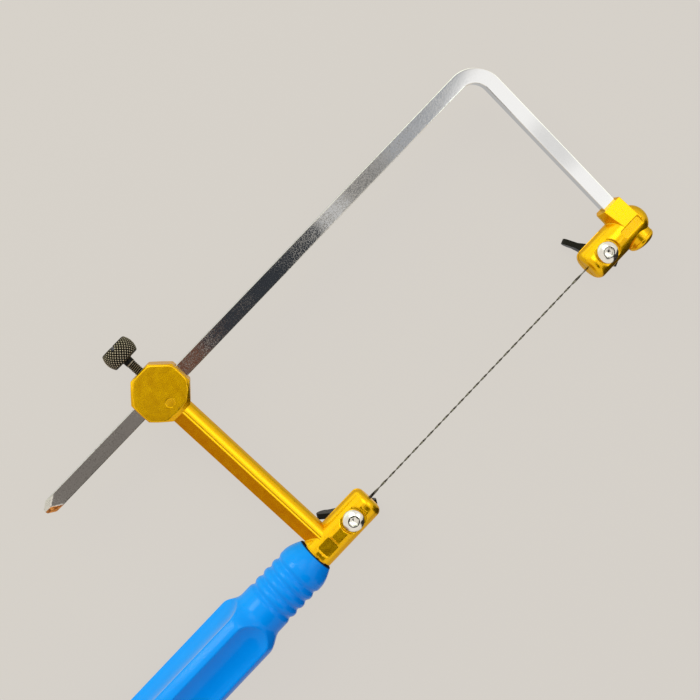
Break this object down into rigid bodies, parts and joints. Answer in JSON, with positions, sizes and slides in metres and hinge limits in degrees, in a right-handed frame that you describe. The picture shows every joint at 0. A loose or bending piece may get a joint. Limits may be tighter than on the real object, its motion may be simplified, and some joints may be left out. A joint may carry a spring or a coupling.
{
  "type": "fret saw",
  "caption": "Adjustable fret saw: L-shaped plated bar in a gold cast arm, spiral blade between split clamps with wing nuts, knurled thumb screw and blue fluted handle.",
  "frame": {"origin": "on the plane under the wing nuts' lowest points, below the middle of the saw's outline", "axes": "+X along the blade from the handle to the tip, +Y from the blade to the bar, +Z to the saw's front"},
  "size_m": [0.2834, 0.1152, 0.0278],
  "materials": {
    "gold_casting": "satin gold on die casting",
    "plated_steel": "bright plating with fine pitting",
    "blackened_steel": "blackened",
    "bright_screw": "bright zinc",
    "blade_steel": "tempered dark steel",
    "handle_plastic": "moulded gloss"
  },
  "bodies": {
    "handle_arm": {"arm_casting": "gold_casting", "handle": "handle_plastic", "lower_screw": "bright_screw"},
    "frame": {"frame_bar": "plated_steel", "upper_clamp": "gold_casting", "leg_nut": "gold_casting", "blade": "blade_steel", "upper_screw": "bright_screw"},
    "thumb_screw": {"thumb_screw": "blackened_steel"},
    "lower_wing_nut": {"lower_wing_nut": "blackened_steel"},
    "upper_wing_nut": {"upper_wing_nut": "blackened_steel"}
  },
  "joints": [
    {"name": "frame_slide", "type": "slide", "parent": "handle_arm", "child": "frame", "axis": [1, 0, 0], "range_m": [0, 0.04]},
    {"name": "thumb_screw_turn", "type": "hinge", "parent": "handle_arm", "child": "thumb_screw", "pos_m": [-0.02415, 0.05, 0.0155], "axis": [0, 1, 0], "continuous": true},
    {"name": "lower_wing_nut_turn", "type": "hinge", "parent": "handle_arm", "child": "lower_wing_nut", "pos_m": [-0.01115, -0.0453, 0.006], "axis": [0, 0, 1], "continuous": true},
    {"name": "upper_wing_nut_turn", "type": "hinge", "parent": "frame", "child": "upper_wing_nut", "pos_m": [0.12055, -0.0453, 0.006], "axis": [0, 0, 1], "continuous": true}
  ]
}
